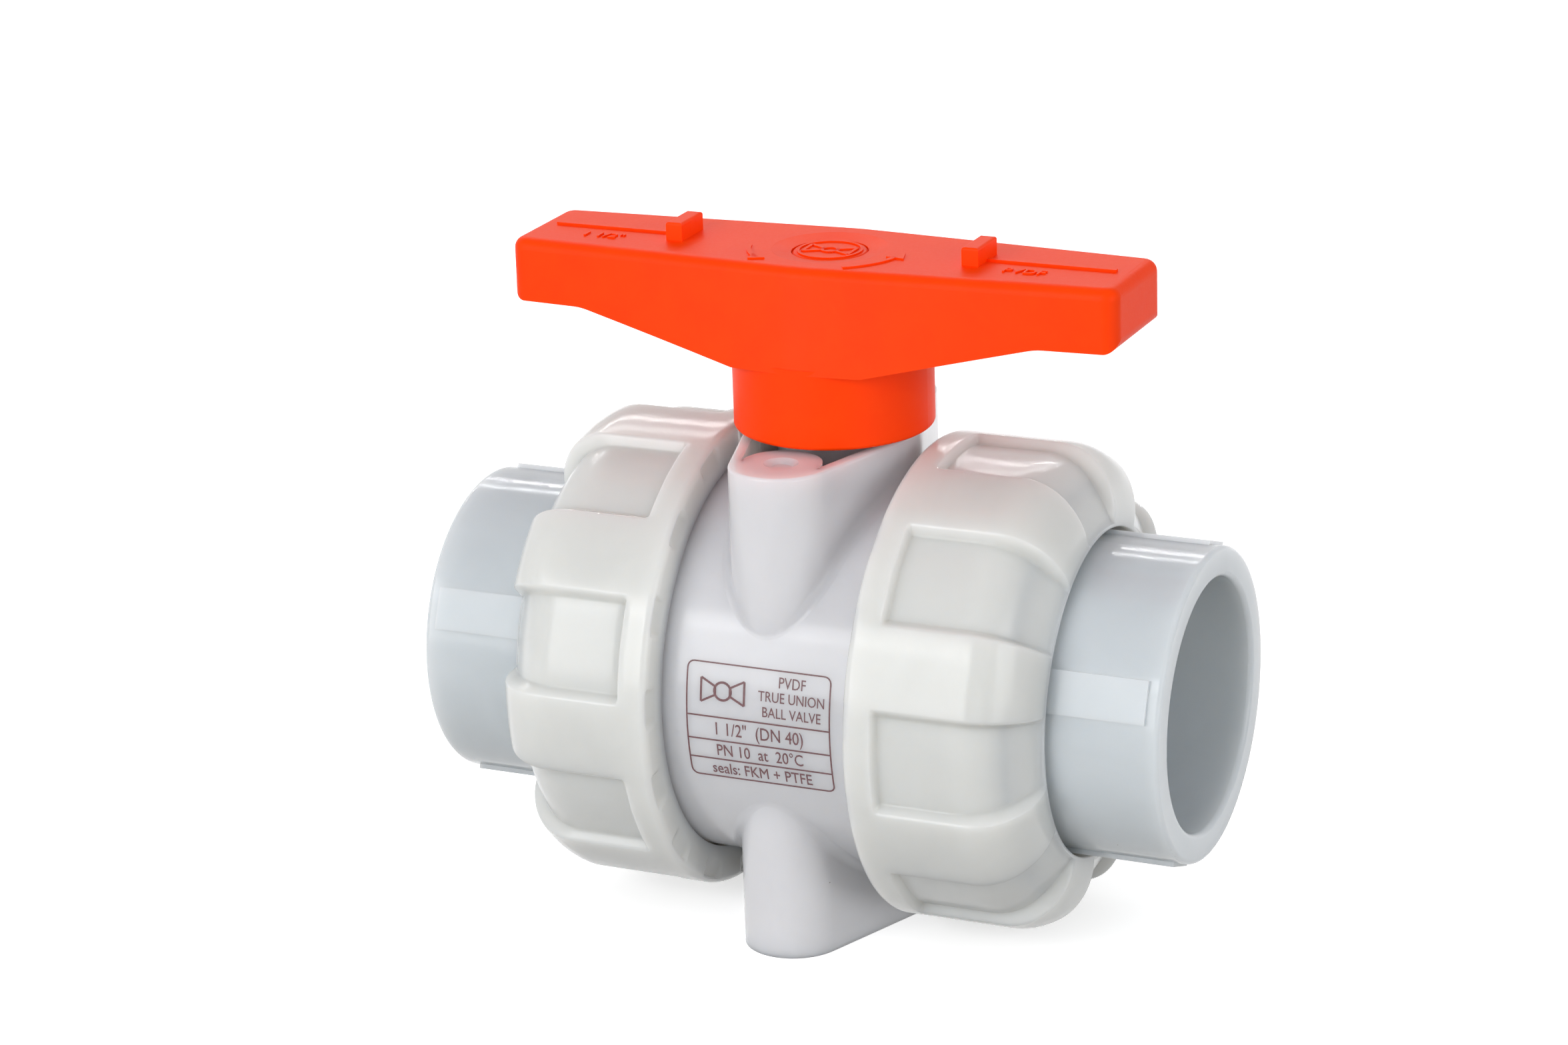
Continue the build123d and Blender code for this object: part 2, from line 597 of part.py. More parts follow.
with BuildPart() as handle:
    with BuildSketch(level(handle_top)):
        add(wing_outline(handle_mid_width, handle_mid_round))
    with BuildSketch(level(handle_root_rise)):
        add(wing_outline(skirt_apex, skirt_r))
    loft()
    # underside of the wings: rising from the skirt to a soft knee, then level to the tips
    with BuildSketch(meridian) as wing_side:
        with BuildLine():
            below = handle_root_rise - 5
            tip = handle_half_length - handle_tip_round
            knee = (handle_knee_x, handle_knee_rise)
            Polyline((handle_half_length, handle_end_bottom + handle_tip_round),
                     (handle_half_length + 1, handle_end_bottom + handle_tip_round),
                     (handle_half_length + 1, below), (handle_root_x, below),
                     (handle_root_x, handle_root_rise), knee, (tip, handle_end_bottom))
            RadiusArc((tip, handle_end_bottom),
                      (handle_half_length, handle_end_bottom + handle_tip_round), -handle_tip_round)
        make_face()
        fillet(wing_side.vertices().sort_by_distance((*knee, 0))[0], handle_knee_round)
        mirror(about=Plane.YZ)
    extrude(amount=2 * skirt_r, both=True, mode=Mode.SUBTRACT)
    fillet(handle.edges().group_by(Axis.Z)[-1], handle_edge_r)
    with BuildSketch(level(skirt_bottom)):
        Circle(skirt_r)
    extrude(amount=handle_root_rise - skirt_bottom + 1)
    fillet(handle.edges().group_by(Axis.Z)[0], skirt_edge_r)
    # hollow skirt with the hub post standing in it
    with BuildSketch(level(skirt_bottom)):
        Circle(skirt_r - skirt_wall)
    extrude(amount=skirt_ceiling - skirt_bottom, mode=Mode.SUBTRACT)
    with BuildSketch(level(hub_post_bottom)):
        Circle(hub_post_r)
    extrude(amount=skirt_ceiling - hub_post_bottom + 1)
    # two ribs inside the skirt that meet the lugs on the stem housing
    rib_inner_r = stop_housing_r + stop_gap
    rib_end = 180 - stop_lug_half_angle - stop_margin
    for half_turn in (0, 180):
        with BuildSketch(level(skirt_bottom + stop_gap)):
            with BuildLine():
                first = radians(half_turn + rib_end - stop_rib_angle)
                last = radians(half_turn + rib_end)
                outer = skirt_r - skirt_wall / 2
                Line((rib_inner_r * cos(first), rib_inner_r * sin(first)),
                     (outer * cos(first), outer * sin(first)))
                RadiusArc((outer * cos(first), outer * sin(first)),
                          (outer * cos(last), outer * sin(last)), -outer)
                Line((outer * cos(last), outer * sin(last)),
                     (rib_inner_r * cos(last), rib_inner_r * sin(last)))
                RadiusArc((rib_inner_r * cos(last), rib_inner_r * sin(last)),
                          (rib_inner_r * cos(first), rib_inner_r * sin(first)), rib_inner_r)
            make_face()
        extrude(amount=skirt_ceiling - skirt_bottom - stop_gap)
    # wings hollowed from below, leaving cross ribs
    cell_xs = [skirt_r - 0.5, *handle_rib_xs, handle_half_length - handle_wall + handle_rib / 2]
    for wing in (-1, 1):
        with BuildSketch(level(handle_top - handle_wall)):
            for near_x, far_x in zip(cell_xs, cell_xs[1:]):
                ends = []
                for x in (near_x + handle_rib / 2, far_x - handle_rib / 2):
                    reach = x / handle_half_length
                    half = handle_mid_width + (handle_end_width - handle_mid_width) * reach
                    ends.append((wing * x, half - handle_wall))
                Polygon(*ends, *[(x, -y) for x, y in reversed(ends)], align=None)
        extrude(amount=-(handle_top - handle_wall - skirt_bottom), mode=Mode.SUBTRACT)
    # square drive, screw hole, screw well and cap seat
    with BuildSketch(level(hub_post_bottom)):
        RectangleRounded(stem_flats + 2 * square_fit, stem_flats + 2 * square_fit,
                         stem_square_corner)
    extrude(amount=stem_top + stop_gap / 2 - hub_post_bottom, mode=Mode.SUBTRACT)
    with BuildSketch(level(stem_top)):
        Circle(screw_hole_r)
    extrude(amount=well_floor - stem_top, mode=Mode.SUBTRACT)
    with BuildSketch(level(well_floor)):
        Circle(well_r)
    extrude(amount=handle_top - well_floor, mode=Mode.SUBTRACT)
    with BuildSketch(level(handle_top)):
        Circle(dish_r)
    dish_taper = degrees(atan2(dish_r - cap_r - cap_fit, dish_depth))
    extrude(amount=-dish_depth, taper=dish_taper, mode=Mode.SUBTRACT)
    with BuildSketch(level(cap_top)):
        Circle(cap_r + cap_fit)
    extrude(amount=-cap_thickness, mode=Mode.SUBTRACT)
    # two keys for the seat carrier, and the raised spine beyond each
    with BuildSketch(level(handle_top)):
        with Locations((key_x, 0), (-key_x, 0)):
            Rectangle(key_thickness, key_length)
    extrude(amount=key_height)
    with BuildSketch(level(handle_top)):
        spine_start = key_x + key_thickness / 2
        spine_end = handle_half_length - spine_margin
        with Locations(((spine_start + spine_end) / 2, 0), (-(spine_start + spine_end) / 2, 0)):
            Rectangle(spine_end - spine_start, spine_width)
    extrude(amount=spine_height)
    fillet(handle.faces().filter_by(Axis.Z).sort_by(Axis.Z)[-2:].edges(), key_edge_r)
finish(handle.part, "handle")

with BuildPart() as handle_cap:
    with BuildSketch(level(cap_top)):
        Circle(cap_r)
    extrude(amount=-cap_thickness)
    with BuildSketch(level(cap_top - cap_thickness)):
        Circle(well_r - cap_fit)
        Circle(well_r - cap_fit - cap_skirt_wall, mode=Mode.SUBTRACT)
    extrude(amount=-cap_skirt_depth)
    chamfer(handle_cap.edges().group_by(Axis.Z)[-1], cap_chamfer)
finish(handle_cap.part, "handle_cap")

with BuildPart() as handle_washer:
    with BuildSketch(level(well_floor)):
        Circle(screw_washer_r)
        Circle(screw_hole_r - 0.4, mode=Mode.SUBTRACT)
    extrude(amount=screw_washer_thickness)
finish(handle_washer.part, "handle_washer")

with BuildPart() as handle_screw:
    head_rise = well_floor + screw_washer_thickness
    with BuildSketch(level(head_rise)):
        Circle(screw_head_r)
    extrude(amount=screw_head_height)
    with BuildSketch(level(head_rise)):
        Circle(screw_r)
    extrude(amount=-screw_length)
    fillet(handle_screw.edges().group_by(Axis.Z)[-1], screw_head_round)
    with BuildSketch(level(head_rise + screw_head_height)):
        RegularPolygon(screw_key_r, 6)
    extrude(amount=-screw_head_height * 0.6, mode=Mode.SUBTRACT)
finish(handle_screw.part, "handle_screw")
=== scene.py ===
"""True-union ball valve, DN 40, in natural PVDF with an orange handle.

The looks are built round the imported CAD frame, in its order of assembly: body, ball and
seats, stem, end connectors, union nuts, handle, handle fixings.
"""
import math

import bmesh
import bpy
from mathutils import Matrix, Vector


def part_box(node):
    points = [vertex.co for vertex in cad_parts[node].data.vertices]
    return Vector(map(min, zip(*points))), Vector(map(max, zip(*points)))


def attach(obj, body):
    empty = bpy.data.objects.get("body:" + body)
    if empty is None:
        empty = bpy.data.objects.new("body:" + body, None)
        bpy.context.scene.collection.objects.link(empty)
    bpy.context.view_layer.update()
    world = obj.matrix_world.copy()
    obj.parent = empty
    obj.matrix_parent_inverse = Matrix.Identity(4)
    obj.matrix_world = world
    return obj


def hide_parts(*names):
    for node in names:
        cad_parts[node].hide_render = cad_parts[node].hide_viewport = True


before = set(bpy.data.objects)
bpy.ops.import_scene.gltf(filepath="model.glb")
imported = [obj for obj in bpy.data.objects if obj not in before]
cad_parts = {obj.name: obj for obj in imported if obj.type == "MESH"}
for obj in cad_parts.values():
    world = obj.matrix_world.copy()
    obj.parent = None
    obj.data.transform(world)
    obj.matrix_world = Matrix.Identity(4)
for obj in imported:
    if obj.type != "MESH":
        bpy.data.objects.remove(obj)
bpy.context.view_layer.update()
mm = 0.001
scene = bpy.context.scene

# ---- camera ---------------------------------------------------------------------------
# A 100 mm lens a little under a metre away, in front and to the right of the valve,
# looking slightly down on it and leaning about two degrees.
eye = (0.32285, -0.72638, 0.34381)
backward = (0.39712, -0.86036, 0.31953)
level_right = (0.90796, 0.41905, 0.0)
level_up = (-0.13390, 0.29012, 0.94758)
lean = math.radians(-1.872)
right = [math.cos(lean) * r + math.sin(lean) * u for r, u in zip(level_right, level_up)]
up = [math.cos(lean) * u - math.sin(lean) * r for r, u in zip(level_right, level_up)]
camera = bpy.data.objects.new("camera", bpy.data.cameras.new("camera"))
scene.collection.objects.link(camera)
camera_rows = [(right[i], up[i], backward[i], eye[i]) for i in range(3)]
camera.matrix_world = Matrix(camera_rows + [(0, 0, 0, 1)])
camera.data.sensor_width = 36.0
camera.data.lens = 100.97
camera.data.shift_x = 0.0034
camera.data.shift_y = 0.0016
scene.camera = camera


# ---- studio ---------------------------------------------------------------------------
# A white sweep in a white room. A large soft box stands in front and to the left, a weaker
# panel fills the right, and four thin strips, two in front and two behind, lie along the
# valve to draw long highlights on its round pieces.
def linear(hex_colour, alpha=1.0):
    """Shader colour of an sRGB hex value."""
    parts = [int(hex_colour[i:i + 2], 16) / 255 for i in (1, 3, 5)]
    return (*[c / 12.92 if c <= 0.04045 else ((c + 0.055) / 1.055) ** 2.4 for c in parts], alpha)


def add(tree, kind, inputs=None, **settings):
    """Adds a node to a tree, with its settings, and with each input given a value or a link."""
    made = tree.nodes.new(kind)
    for name, value in settings.items():
        setattr(made, name, value)
    for name, value in (inputs or {}).items():
        if isinstance(value, bpy.types.NodeSocket):
            tree.links.new(value, made.inputs[name])
        else:
            made.inputs[name].default_value = value
    return made


def new_material(name):
    """An empty node material and its tree."""
    material = bpy.data.materials.new(name)
    material.use_nodes = True
    material.node_tree.nodes.clear()
    return material, material.node_tree


scene.view_settings.view_transform = "Standard"

sweep_half = 6.0
sweep_mesh = bpy.data.meshes.new("studio_floor")
sweep_mesh.from_pydata([(-sweep_half, -sweep_half, 0), (sweep_half, -sweep_half, 0),
                        (sweep_half, sweep_half, 0), (-sweep_half, sweep_half, 0)],
                       [], [(0, 1, 2, 3)])
sweep = bpy.data.objects.new("studio_floor", sweep_mesh)
scene.collection.objects.link(sweep)
paper, tree = new_material("white paper sweep")
sheet = add(tree, "ShaderNodeBsdfDiffuse", {"Color": linear("#f2f2f2")})
glow = add(tree, "ShaderNodeEmission", {"Color": linear("#ffffff"), "Strength": 0.52})
lit_sheet = add(tree, "ShaderNodeAddShader", {0: sheet.outputs[0], 1: glow.outputs[0]})
add(tree, "ShaderNodeOutputMaterial", {"Surface": lit_sheet.outputs[0]})
sweep_mesh.materials.append(paper)
sweep.visible_diffuse = False    # the ground reflects no light up at the valve

room_wall = linear("#ffffff")
room_ceiling = linear("#c4c4c8")
room_ground = linear("#6a6a6a")
room = bpy.data.worlds.new("white room")
scene.world = room
room.use_nodes = True
tree = room.node_tree
tree.nodes.clear()
rise = add(tree, "ShaderNodeSeparateXYZ",
           {"Vector": add(tree, "ShaderNodeTexCoord").outputs["Generated"]})
height = add(tree, "ShaderNodeMapRange", {"Value": rise.outputs["Z"], "From Min": 0.1,
                                          "From Max": 0.9}, interpolation_type="SMOOTHSTEP")
shade = add(tree, "ShaderNodeMix", {"Factor": height.outputs["Result"], "A": room_wall,
                                    "B": room_ceiling}, data_type="RGBA")
depth = add(tree, "ShaderNodeMapRange", {"Value": rise.outputs["Z"], "From Min": 0.05,
                                         "From Max": -0.5}, interpolation_type="SMOOTHSTEP")
all_round = add(tree, "ShaderNodeMix", {"Factor": depth.outputs["Result"],
                                        "A": shade.outputs["Result"], "B": room_ground},
                data_type="RGBA")
walls = add(tree, "ShaderNodeBackground", {"Color": all_round.outputs["Result"],
                                           "Strength": 0.88})
add(tree, "ShaderNodeOutputWorld", {"Surface": walls.outputs[0]})

# place in metres, width and depth in metres, power in watts
lamps = {
    "soft_box": ((-0.45, -1.35, 0.45), (0.9, 0.9), 9.5),
    "fill_panel": ((1.35, -0.55, 0.35), (0.9, 0.9), 6.0),
    "back_strip_high": ((-0.45, 0.85, 0.80), (1.1, 0.012), 1.6),
    "back_strip_low": ((-0.45, 0.95, 0.62), (1.1, 0.012), 1.6),
    "front_strip_high": ((-0.54, -1.04, 0.82), (1.1, 0.012), 1.2),
    "front_strip_low": ((-0.56, -1.12, 0.72), (1.1, 0.012), 1.2),
}
for lamp_name, (place, (width, depth), power) in lamps.items():
    lamp = bpy.data.objects.new(lamp_name, bpy.data.lights.new(lamp_name, "AREA"))
    scene.collection.objects.link(lamp)
    lamp.data.shape = "RECTANGLE"
    lamp.data.size = width
    lamp.data.size_y = depth
    lamp.data.energy = power
    toward_valve = Vector((0, 0, 0.06)) - Vector(place)
    turn = toward_valve.to_track_quat("-Z", "Y").to_matrix().to_4x4()
    lamp.matrix_world = Matrix.Translation(place) @ turn


# ---- valve body -----------------------------------------------------------------------
# Barrel, threaded spigots, stem tower and foot are one injection moulding in natural PVDF:
# milky and slightly see-through, with the soft gloss of a polished mould.
def moulded_pvdf(name, clear_part, milky_part, gloss):
    """Natural PVDF: its depth comes from scattering, its shine is a little uneven."""
    flow_swirl = 18 * mm        # faint clouds where the melt folded
    sink_ripple = 7 * mm        # cooling ripples that bend the highlights
    mould_grain = 0.8 * mm      # finer than real, so that it still shows
    speck_spacing = 11 * mm
    speck_size = 0.012          # of the spacing
    material, tree = new_material(name)
    where = add(tree, "ShaderNodeTexCoord").outputs["Object"]
    swirl = add(tree, "ShaderNodeTexNoise", {"Vector": where, "Scale": 1 / flow_swirl,
                                             "Detail": 3.0, "Distortion": 0.8})
    colour = add(tree, "ShaderNodeMix", {"Factor": swirl.outputs["Fac"],
                                         "A": linear(clear_part), "B": linear(milky_part)},
                 data_type="RGBA")
    cell = add(tree, "ShaderNodeTexVoronoi", {"Vector": where, "Scale": 1 / speck_spacing})
    near = add(tree, "ShaderNodeMath", {0: cell.outputs["Distance"], 1: speck_size},
               operation="LESS_THAN")
    chance = add(tree, "ShaderNodeSeparateColor", {"Color": cell.outputs["Color"]})
    few = add(tree, "ShaderNodeMath", {0: chance.outputs["Red"], 1: 0.7},
              operation="GREATER_THAN")
    speck = add(tree, "ShaderNodeMath", {0: near.outputs[0], 1: few.outputs[0]},
                operation="MULTIPLY")
    skin_colour = add(tree, "ShaderNodeMix", {"Factor": speck.outputs[0],
                                              "A": colour.outputs["Result"],
                                              "B": linear("#5b4438")}, data_type="RGBA")
    ripple = add(tree, "ShaderNodeTexNoise", {"Vector": where, "Scale": 1 / sink_ripple,
                                              "Detail": 1.0})
    grain = add(tree, "ShaderNodeTexNoise", {"Vector": where, "Scale": 1 / mould_grain,
                                             "Detail": 2.0})
    waves = add(tree, "ShaderNodeBump", {"Height": ripple.outputs["Fac"], "Strength": 1.0,
                                         "Distance": 0.03 * mm})
    surface = add(tree, "ShaderNodeBump", {"Height": grain.outputs["Fac"], "Strength": 0.35,
                                           "Distance": 0.008 * mm,
                                           "Normal": waves.outputs["Normal"]})
    shine = add(tree, "ShaderNodeMapRange", {"Value": swirl.outputs["Fac"],
                                             "To Min": gloss - 0.04, "To Max": gloss + 0.05})
    skin = add(tree, "ShaderNodeBsdfPrincipled", {
        "Base Color": skin_colour.outputs["Result"], "Roughness": shine.outputs["Result"],
        "Normal": surface.outputs["Normal"], "IOR": 1.42, "Subsurface Weight": 1.0,
        "Subsurface Radius": (11.0, 10.0, 9.0), "Subsurface Scale": mm})
    add(tree, "ShaderNodeOutputMaterial", {"Surface": skin.outputs[0]})
    return material


def finish_node(name, material):
    """Gives a CAD node its finish."""
    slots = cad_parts[name].data.materials
    slots.clear()
    slots.append(material)


# The body is the most neutral white of the three mouldings.
body_pvdf = moulded_pvdf("moulded natural PVDF, body", "#cdcdd0", "#d6d6d9", 0.17)
finish_node("valve_body", body_pvdf)

# ---- printed plate on the barrel ------------------------------------------------------
# A rounded frame with three rules, pad-printed on the front of the barrel in dark maroon
# ink, and filled with a valve symbol and plain words for type, size, rating and seals.
flange_top_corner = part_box("outlet_end_connector")[1]
axis_height = flange_top_corner[2] - flange_top_corner[1]
barrel_r = 38.6
ink_bite = 0.02                 # mm into the plastic
ink_stand = 0.06                # mm proud of it
ink_line = 0.28


def strip(points, width, longest=1.2):
    """Outlines of short quads that follow a line of points at a width, in mm."""
    quads = []
    for (ax, ay), (bx, by) in zip(points, points[1:]):
        length = math.hypot(bx - ax, by - ay)
        steps = math.ceil(length / longest)
        nx, ny = -(by - ay) / length * width / 2, (bx - ax) / length * width / 2
        for step in range(steps):
            f, g = step / steps, (step + 1) / steps
            start = (ax + (bx - ax) * f, ay + (by - ay) * f)
            end = (ax + (bx - ax) * g, ay + (by - ay) * g)
            quads.append([(start[0] - nx, start[1] - ny), (end[0] - nx, end[1] - ny),
                          (end[0] + nx, end[1] + ny), (start[0] + nx, start[1] + ny)])
    return quads


def arc(centre_x, centre_y, r, start, end, steps):
    """Points along an arc, in mm, from one angle to another in degrees."""
    angles = [math.radians(start + (end - start) * i / steps) for i in range(steps + 1)]
    return [(centre_x + r * math.cos(a), centre_y + r * math.sin(a)) for a in angles]


def letters(words, size, x, y, stretch=1.0):
    """Flat faces of words centred on a point, in mm: a list of vertices and of faces."""
    curve = bpy.data.curves.new("lettering", "FONT")
    curve.body = words
    curve.size = size
    curve.align_x = "CENTER"
    curve.align_y = "CENTER"
    curve.resolution_u = 3
    text = bpy.data.objects.new("lettering", curve)
    scene.collection.objects.link(text)
    bpy.context.view_layer.update()
    flat = bpy.data.meshes.new_from_object(text.evaluated_get(
        bpy.context.evaluated_depsgraph_get()))
    points = [(v.co.x * stretch + x, v.co.y + y) for v in flat.vertices]
    faces = [tuple(p.vertices) for p in flat.polygons]
    bpy.data.objects.remove(text)
    bpy.data.curves.remove(curve)
    bpy.data.meshes.remove(flat)
    return points, faces


def raised_piece(name, shapes, low, high, place, material):
    """One closed mesh of flat shapes given a thickness; place puts (x, y, rise) in metres."""
    made = bmesh.new()
    for points, faces in shapes:
        corners = [made.verts.new((x, y, 0)) for x, y in points]
        for face in faces:
            made.faces.new([corners[i] for i in face])
    bmesh.ops.remove_doubles(made, verts=made.verts, dist=0.001)
    bmesh.ops.recalc_face_normals(made, faces=made.faces)
    for face in made.faces:
        if face.normal.z < 0:
            face.normal_flip()
    lower = bmesh.ops.duplicate(made, geom=made.verts[:] + made.edges[:] + made.faces[:])
    lower_verts = {g for g in lower["geom"] if isinstance(g, bmesh.types.BMVert)}
    lower_faces = [g for g in lower["geom"] if isinstance(g, bmesh.types.BMFace)]
    rims = [e for e in made.edges if len(e.link_faces) == 1 and e.verts[0] not in lower_verts]
    twin = lower["vert_map"]
    for edge in rims:
        a, b = edge.link_loops[0].vert, edge.link_loops[0].link_loop_next.vert
        made.faces.new([b, a, twin[a], twin[b]])
    bmesh.ops.reverse_faces(made, faces=lower_faces)
    for vert in made.verts:
        x, y, z = place(vert.co.x, vert.co.y, low if vert in lower_verts else high)
        vert.co = (x, y, z)
    mesh = bpy.data.meshes.new(name)
    made.to_mesh(mesh)
    made.free()
    mesh.materials.append(material)
    piece = bpy.data.objects.new(name, mesh)
    scene.collection.objects.link(piece)
    return piece


def round_barrel(x, along, rise):
    """From the flat print to the front of the barrel."""
    turn = along / barrel_r
    r = (barrel_r + rise) * mm
    return x * mm, -r * math.cos(turn), axis_height + r * math.sin(turn)


def quad_shapes(quads):
    """The shapes of a list of outlines."""
    return [(quad, [tuple(range(len(quad)))]) for quad in quads]


left, right_side, top, bottom, corner = -14.7, 14.3, 11.2, -11.8, 1.3
outline = (arc(left + corner, top - corner, corner, 180, 90, 5)
           + arc(right_side - corner, top - corner, corner, 90, 0, 5)
           + arc(right_side - corner, bottom + corner, corner, 0, -90, 5)
           + arc(left + corner, bottom + corner, corner, -90, -180, 5))
outline.append(outline[0])
plate = strip(outline, ink_line)
rules = (0.9, -3.8, -7.8)
for rule in rules:
    plate += strip([(left, rule), (right_side, rule)], ink_line)
symbol_x, symbol_y, symbol_half, symbol_high = -7.4, 6.0, 4.4, 2.3
symbol_ball_r, symbol_waist_x, symbol_waist_high = 1.7, 1.5, 0.8
plate += strip(arc(symbol_x, symbol_y, symbol_ball_r, 0, 360, 28), 0.45)
for side in (-1, 1):
    wing = [(symbol_x + side * symbol_half, symbol_y + symbol_high),
            (symbol_x + side * symbol_half, symbol_y - symbol_high),
            (symbol_x + side * symbol_waist_x, symbol_y - symbol_waist_high),
            (symbol_x + side * symbol_waist_x, symbol_y + symbol_waist_high)]
    plate += strip(wing + wing[:1], 0.4)
plate_shapes = quad_shapes(plate)
for words, size, x, y in (("PVDF", 3.0, 6.6, 8.9), ("TRUE UNION", 2.8, 6.6, 6.0),
                          ("BALL VALVE", 2.8, 6.6, 3.0), ("1 1/2\"  (DN 40)", 3.6, -0.2, -1.5),
                          ("PN 10  at  20°C", 3.4, -0.2, -5.9),
                          ("seals: FKM + PTFE", 3.4, -0.2, -9.9)):
    plate_shapes.append(letters(words, size, x, y, 0.8))

# Thin ink on a glossy plastic: dull, and patchy where the pad left less of it.
ink, tree = new_material("maroon pad-printing ink")
dab = add(tree, "ShaderNodeTexNoise", {
    "Vector": add(tree, "ShaderNodeTexCoord").outputs["Object"], "Scale": 1 / (0.6 * mm)})
ink_colour = add(tree, "ShaderNodeMix", {"Factor": dab.outputs["Fac"], "A": linear("#4a2226"),
                                         "B": linear("#7d565a")}, data_type="RGBA")
skin = add(tree, "ShaderNodeBsdfPrincipled", {"Base Color": ink_colour.outputs["Result"],
                                              "Roughness": 0.45})
add(tree, "ShaderNodeOutputMaterial", {"Surface": skin.outputs[0]})
print_piece = raised_piece("barrel_print", plate_shapes, -ink_bite, ink_stand,
                           round_barrel, ink)
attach(print_piece, "valve")


# ---- ball, seats and their seals ------------------------------------------------------
# The ball and the screwed-in seat carrier are PVDF turned on a lathe; the two seats are
# skived PTFE, each pushed on to the ball by a fluorocarbon rubber ring behind it.
def turned(name, low, high, tool_mark, roughness, ior, scatter):
    """A plastic cut on a lathe about the flow axis: fine rings left by the tool."""
    wave_rate = 20      # the wave node's own: its rings lie 2 pi times tool_mark apart,
    #                     which is coarser than a real cut, so that they show
    material, tree = new_material(name)
    centred = add(tree, "ShaderNodeMapping", {
        "Vector": add(tree, "ShaderNodeTexCoord").outputs["Object"],
        "Location": (0.0, 0.0, -axis_height)})
    rings = add(tree, "ShaderNodeTexWave", {"Vector": centred.outputs["Vector"],
                                            "Scale": 1 / (wave_rate * tool_mark * mm),
                                            "Distortion": 0.6, "Detail": 1.0},
                wave_type="RINGS", rings_direction="X")
    colour = add(tree, "ShaderNodeMix", {"Factor": rings.outputs["Fac"], "A": linear(low),
                                         "B": linear(high)}, data_type="RGBA")
    surface = add(tree, "ShaderNodeBump", {"Height": rings.outputs["Fac"], "Strength": 0.5,
                                           "Distance": 0.01 * mm})
    skin = add(tree, "ShaderNodeBsdfPrincipled", {
        "Base Color": colour.outputs["Result"], "Normal": surface.outputs["Normal"],
        "Roughness": roughness, "IOR": ior, "Subsurface Weight": scatter,
        "Subsurface Radius": (4.0, 3.6, 3.2), "Subsurface Scale": mm})
    add(tree, "ShaderNodeOutputMaterial", {"Surface": skin.outputs[0]})
    return material


def rubber(name, low, high):
    """Moulded seal rubber: dull, almost black, with a dusty bloom."""
    material, tree = new_material(name)
    bloom = add(tree, "ShaderNodeTexNoise", {
        "Vector": add(tree, "ShaderNodeTexCoord").outputs["Object"], "Scale": 1 / (1.5 * mm),
        "Detail": 4.0})
    colour = add(tree, "ShaderNodeMix", {"Factor": bloom.outputs["Fac"], "A": linear(low),
                                         "B": linear(high)}, data_type="RGBA")
    surface = add(tree, "ShaderNodeBump", {"Height": bloom.outputs["Fac"], "Strength": 0.4,
                                           "Distance": 0.02 * mm})
    skin = add(tree, "ShaderNodeBsdfPrincipled", {
        "Base Color": colour.outputs["Result"], "Normal": surface.outputs["Normal"],
        "Roughness": 0.58})
    add(tree, "ShaderNodeOutputMaterial", {"Surface": skin.outputs[0]})
    return material


# Cut PVDF is satin and milky, PTFE is whiter, waxy and dull, and the rubber nearly black.
turned_pvdf = turned("turned PVDF", "#e9e9e8", "#f1f1f0", 0.25, 0.3, 1.42, 0.4)
ptfe = turned("skived PTFE", "#f0f0ec", "#f8f8f5", 0.4, 0.5, 1.35, 0.3)
fkm = rubber("fluorocarbon rubber", "#1d1917", "#2c2724")
for name in ("ball", "seat_carrier"):
    finish_node(name, turned_pvdf)
for name in ("inlet_seat", "outlet_seat"):
    finish_node(name, ptfe)
for name in ("inlet_seat_backing_ring", "outlet_seat_backing_ring", "seat_carrier_ring",
             "inlet_face_ring", "outlet_face_ring"):
    finish_node(name, fkm)

# ---- stem -----------------------------------------------------------------------------
# A PVDF stem put in from inside the body, so that pressure can't blow it out, with a PTFE
# thrust washer over its collar and two rubber rings round its shank.
finish_node("stem", turned_pvdf)
finish_node("stem_thrust_washer", ptfe)
for name in ("stem_ring_lower", "stem_ring_upper"):
    finish_node(name, fkm)

# ---- end connectors -------------------------------------------------------------------
# Loose flanged ends that the pipe is fusion-welded into: PVDF of a cooler white than the
# nuts, with four long flats moulded on the socket for the welding clamp.
connector_pvdf = moulded_pvdf("moulded natural PVDF, connectors", "#bfc6ca", "#c9cfd3", 0.15)
for name in ("inlet_end_connector", "outlet_end_connector"):
    finish_node(name, connector_pvdf)

# ---- union nuts -----------------------------------------------------------------------
# A nut pulls each connector on to the body. It is moulded in a warmer, clearer PVDF, with
# eight soft-edged lobes for the hand or a strap wrench and sixteen notches in its rim.
lobe_count = 8
sector_half = 180 / lobe_count
nut_face, nut_mouth = 19.7, 53.9
rim_r, floor_r, hole_r = 46.3, 44.4, 31.3
rim_round = 1.6
lobe_half, wall_half = 10.5, 1.1
column_step, wall_step = 0.75, 0.25
notch_middles, notch_half = (-13.5, 9.0), 4.5
notch_in, notch_out, notch_deep = 41.4, 45.2, 1.0
rim_bore_r, rim_bore_end = 39.0, 23.6
bore_r, thread_root_r = 38.25, 39.7
thread_base_half, thread_tip_half = 1.05, 0.64
shoulder_x, bore_start = 48.1, 43.0
recess_start, recess_full = 25.2, 26.3
lobe_flat_end, floor_flat_end = 42.0, 40.0
floor_end_x, ring_width, hole_edge_x = 53.4, 1.0, 53.75


def soft_step(value):
    """Smooth rise from 0 to 1."""
    value = min(max(value, 0.0), 1.0)
    return value * value * (3 - 2 * value)


